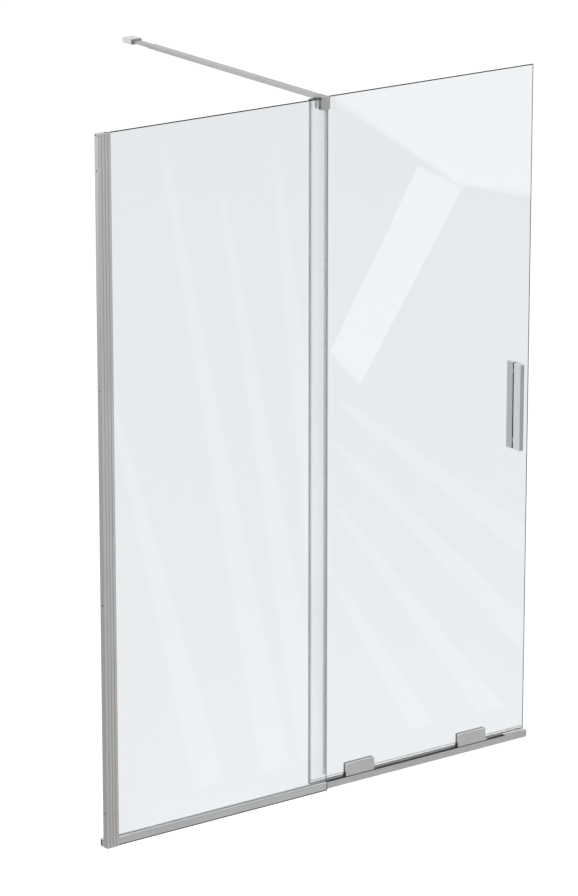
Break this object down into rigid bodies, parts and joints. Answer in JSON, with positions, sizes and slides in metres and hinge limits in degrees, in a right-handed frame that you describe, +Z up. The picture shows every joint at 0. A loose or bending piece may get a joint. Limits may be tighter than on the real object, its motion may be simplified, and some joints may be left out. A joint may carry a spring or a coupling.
{
  "type": "sliding walk-in shower screen",
  "caption": "Sliding walk-in shower screen: a fixed pane in a wall profile, a sliding pane on roller carriages in a floor track, a pull handle and a stabiliser bar to the wall behind.",
  "frame": {"origin": "on the floor, at the wall face that carries the wall profile, in the middle plane of the fixed pane", "axes": "+X along the screen away from the wall profile, +Y to the shower side, towards the wall that carries the stabiliser bar, +Z up"},
  "size_m": [1.474, 0.973, 2.0078],
  "materials": {
    "profile_aluminium": "satin anodised, warm grey",
    "rail_aluminium": "light satin anodised",
    "track_aluminium": "satin anodised, mid grey",
    "brushed_metal": "fine brushed, warm grey",
    "handle_metal": "satin",
    "bar_metal": "light satin",
    "screw_steel": "turned steel",
    "clear_glass": "clear, polished",
    "clear_seal": "clear vinyl",
    "dark_rubber": "matt",
    "grey_gasket": "smooth",
    "dark_plastic": "matt",
    "pale_plastic": "matt",
    "white_nylon": "smooth"
  },
  "bodies": {
    "frame": {"wall_channel": "rail_aluminium", "wall_profile": "profile_aluminium", "wall_profile_cap": "profile_aluminium", "profile_lock_screws": "screw_steel", "fixed_glass": "clear_glass", "fixed_glass_gasket": "dark_rubber", "setting_blocks": "dark_plastic", "fixed_rail": "rail_aluminium", "fixed_rail_beads": "grey_gasket", "fixed_rail_packers": "pale_plastic", "fixed_rail_floor_seal": "dark_rubber", "fixed_rail_end_cap": "dark_plastic", "overlap_seal": "clear_seal", "slide_track": "track_aluminium", "track_running_strip": "screw_steel", "track_seal_front": "dark_rubber", "track_seal_rear": "clear_seal", "track_end_left": "rail_aluminium", "track_end_right": "rail_aluminium", "track_stops": "rail_aluminium", "track_stop_screws": "screw_steel", "track_buffers": "dark_rubber", "clamp_body": "brushed_metal", "clamp_pads": "dark_rubber", "clamp_guide_liner": "white_nylon", "clamp_set_screws": "screw_steel", "support_bar_tube": "bar_metal", "support_bar_rod": "bar_metal", "support_bar_screws": "screw_steel", "bar_bracket_base": "bar_metal", "bar_bracket_body": "bar_metal", "bar_bracket_collar": "dark_plastic", "bar_bracket_screw": "screw_steel"},
    "door": {"sliding_glass": "clear_glass", "door_bottom_seals": "clear_seal", "door_edge_seal": "clear_seal", "handle_front": "handle_metal", "handle_rear": "handle_metal", "handle_studs": "screw_steel", "handle_grub_screws": "screw_steel", "handle_bushes": "white_nylon", "carriage_left_chassis": "brushed_metal", "carriage_left_cover": "brushed_metal", "carriage_left_keeper": "white_nylon", "carriage_right_chassis": "brushed_metal", "carriage_right_cover": "brushed_metal", "carriage_right_keeper": "white_nylon", "carriage_liners": "dark_rubber", "carriage_clamp_screws": "screw_steel", "carriage_sleeves": "white_nylon", "roller_axles": "screw_steel"},
    "roller_1": {"roller_1": "white_nylon"},
    "roller_2": {"roller_2": "white_nylon"},
    "roller_3": {"roller_3": "white_nylon"},
    "roller_4": {"roller_4": "white_nylon"}
  },
  "joints": [
    {"name": "door_slide", "type": "slide", "parent": "frame", "child": "door", "axis": [-1, 0, 0], "range_m": [0, 0.64]},
    {"name": "roller_1_spin", "type": "hinge", "parent": "door", "child": "roller_1", "pos_m": [0.839, 0.014, 0.0101], "axis": [0, 1, 0], "continuous": true},
    {"name": "roller_2_spin", "type": "hinge", "parent": "door", "child": "roller_2", "pos_m": [0.903, 0.014, 0.0101], "axis": [0, 1, 0], "continuous": true},
    {"name": "roller_3_spin", "type": "hinge", "parent": "door", "child": "roller_3", "pos_m": [1.24, 0.014, 0.0101], "axis": [0, 1, 0], "continuous": true},
    {"name": "roller_4_spin", "type": "hinge", "parent": "door", "child": "roller_4", "pos_m": [1.304, 0.014, 0.0101], "axis": [0, 1, 0], "continuous": true}
  ],
  "couplings": [
    {"joint": "roller_1_spin", "follows": "door_slide", "rad_per_m": -153.85},
    {"joint": "roller_2_spin", "follows": "door_slide", "rad_per_m": -153.85},
    {"joint": "roller_3_spin", "follows": "door_slide", "rad_per_m": -153.85},
    {"joint": "roller_4_spin", "follows": "door_slide", "rad_per_m": -153.85}
  ]
}
